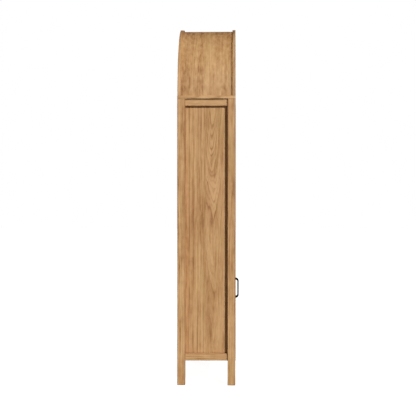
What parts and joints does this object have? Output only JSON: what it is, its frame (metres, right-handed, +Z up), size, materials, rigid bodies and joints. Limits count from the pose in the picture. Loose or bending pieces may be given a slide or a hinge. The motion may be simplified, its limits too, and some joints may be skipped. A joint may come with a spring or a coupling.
{
  "type": "pantry cabinet",
  "caption": "Tall arch-topped oak pantry cabinet on square legs, with an open arched bay, open shelves and an inset double-door cupboard below.",
  "frame": {"origin": "on the floor, at the middle of the cabinet's box seen from above, pulls included", "axes": "+Z up, -Y towards the front where the doors and pulls are, +X to the right when facing the front"},
  "size_m": [0.914, 0.363, 2.167],
  "materials": {
    "oak_solid": "honey oak, satin oil finish",
    "oak_veneer": "honey oak veneered board, satin finish",
    "beech": "plain beech, unfinished",
    "black_pull": "matte black powder coat",
    "black_steel": "black lacquered steel",
    "zinc_steel": "zinc plated",
    "catch_plastic": "brown moulded plastic",
    "glide_plastic": "tan moulded plastic"
  },
  "bodies": {
    "cabinet": {"post_front_left": "oak_solid", "post_back_left": "oak_solid", "side_rail_bottom_left": "oak_solid", "side_rail_top_left": "oak_solid", "side_panel_left": "oak_veneer", "post_front_right": "oak_solid", "post_back_right": "oak_solid", "side_rail_bottom_right": "oak_solid", "side_rail_top_right": "oak_solid", "side_panel_right": "oak_veneer", "front_rail_bottom": "oak_solid", "front_rail_middle": "oak_solid", "front_rail_top": "oak_solid", "deck_board": "oak_solid", "middle_board": "oak_solid", "bottom_board": "oak_solid", "arch_front": "oak_solid", "arch_back": "oak_solid", "shelf_open_lower": "oak_solid", "shelf_open_upper": "oak_solid", "shelf_cupboard": "oak_solid", "back_rail_bottom": "oak_solid", "back_rail_top": "oak_solid", "roof_panel": "oak_veneer", "back_panel": "oak_veneer", "arch_back_panel": "oak_veneer", "cleats": "beech", "dowels": "beech", "cleat_screws": "zinc_steel", "back_panel_screws": "zinc_steel", "shelf_pins": "zinc_steel", "floor_glides": "glide_plastic", "magnetic_catches": "catch_plastic", "hinge_frame_screws": "black_steel", "hinge_frame_leaves_left": "black_steel", "hinge_pins_left": "black_steel", "hinge_frame_leaves_right": "black_steel", "hinge_pins_right": "black_steel"},
    "left_door": {"left_door_hinge_stile": "oak_solid", "left_door_meeting_stile": "oak_solid", "left_door_bottom_rail": "oak_solid", "left_door_top_rail": "oak_solid", "left_door_panel": "oak_veneer", "left_pull": "black_pull", "left_pull_screws": "zinc_steel", "hinge_door_leaves_left": "black_steel", "hinge_door_screws_left": "black_steel", "left_strike_plate": "zinc_steel"},
    "right_door": {"right_door_hinge_stile": "oak_solid", "right_door_meeting_stile": "oak_solid", "right_door_bottom_rail": "oak_solid", "right_door_top_rail": "oak_solid", "right_door_panel": "oak_veneer", "right_pull": "black_pull", "right_pull_screws": "zinc_steel", "hinge_door_leaves_right": "black_steel", "hinge_door_screws_right": "black_steel", "right_strike_plate": "zinc_steel"}
  },
  "joints": [
    {"name": "left_door_hinge", "type": "hinge", "parent": "cabinet", "child": "left_door", "pos_m": [-0.40975, -0.1573, 0.5375], "axis": [0, 0, -1], "range_deg": [0, 110]},
    {"name": "right_door_hinge", "type": "hinge", "parent": "cabinet", "child": "right_door", "pos_m": [0.40975, -0.1573, 0.5375], "axis": [0, 0, 1], "range_deg": [0, 110]}
  ]
}
